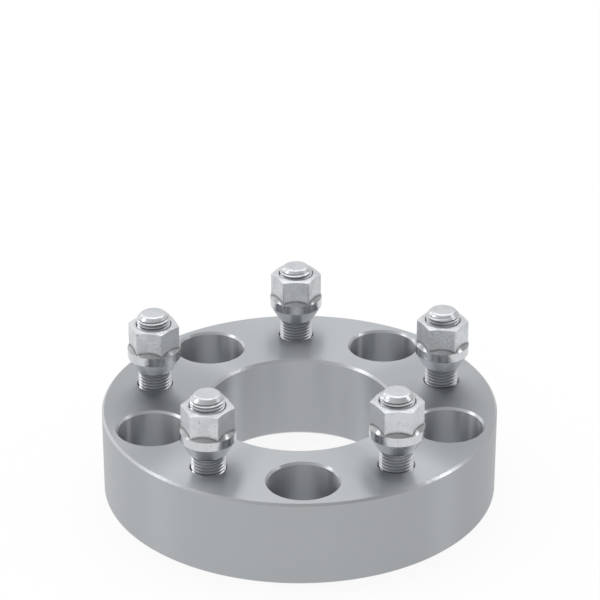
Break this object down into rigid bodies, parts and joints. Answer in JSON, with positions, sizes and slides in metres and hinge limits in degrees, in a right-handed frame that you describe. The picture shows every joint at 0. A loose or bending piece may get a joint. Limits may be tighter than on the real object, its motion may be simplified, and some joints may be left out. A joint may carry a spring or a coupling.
{
  "type": "wheel spacer",
  "caption": "Round aluminium wheel spacer: a disc with a hub bore, deep pockets for the hub nuts, and pressed-in threaded studs that carry conical-seat lug nuts.",
  "frame": {"origin": "centre of the hub face, the flat face that lies against the hub and on which the part rests", "axes": "+Z along the bore axis towards the wheel, the way the studs point; +Y through the first stud"},
  "size_m": [0.1474, 0.1474, 0.0622],
  "materials": {
    "body_aluminium": "fine turned",
    "stud_steel": "zinc plated",
    "nut_steel": "bright zinc plated"
  },
  "bodies": {
    "root": {"spacer_body": "body_aluminium", "wheel_stud_1": "stud_steel", "wheel_stud_2": "stud_steel", "wheel_stud_3": "stud_steel", "wheel_stud_4": "stud_steel", "wheel_stud_5": "stud_steel", "lug_nut_1": "nut_steel", "lug_nut_2": "nut_steel", "lug_nut_3": "nut_steel", "lug_nut_4": "nut_steel", "lug_nut_5": "nut_steel"}
  },
  "joints": []
}
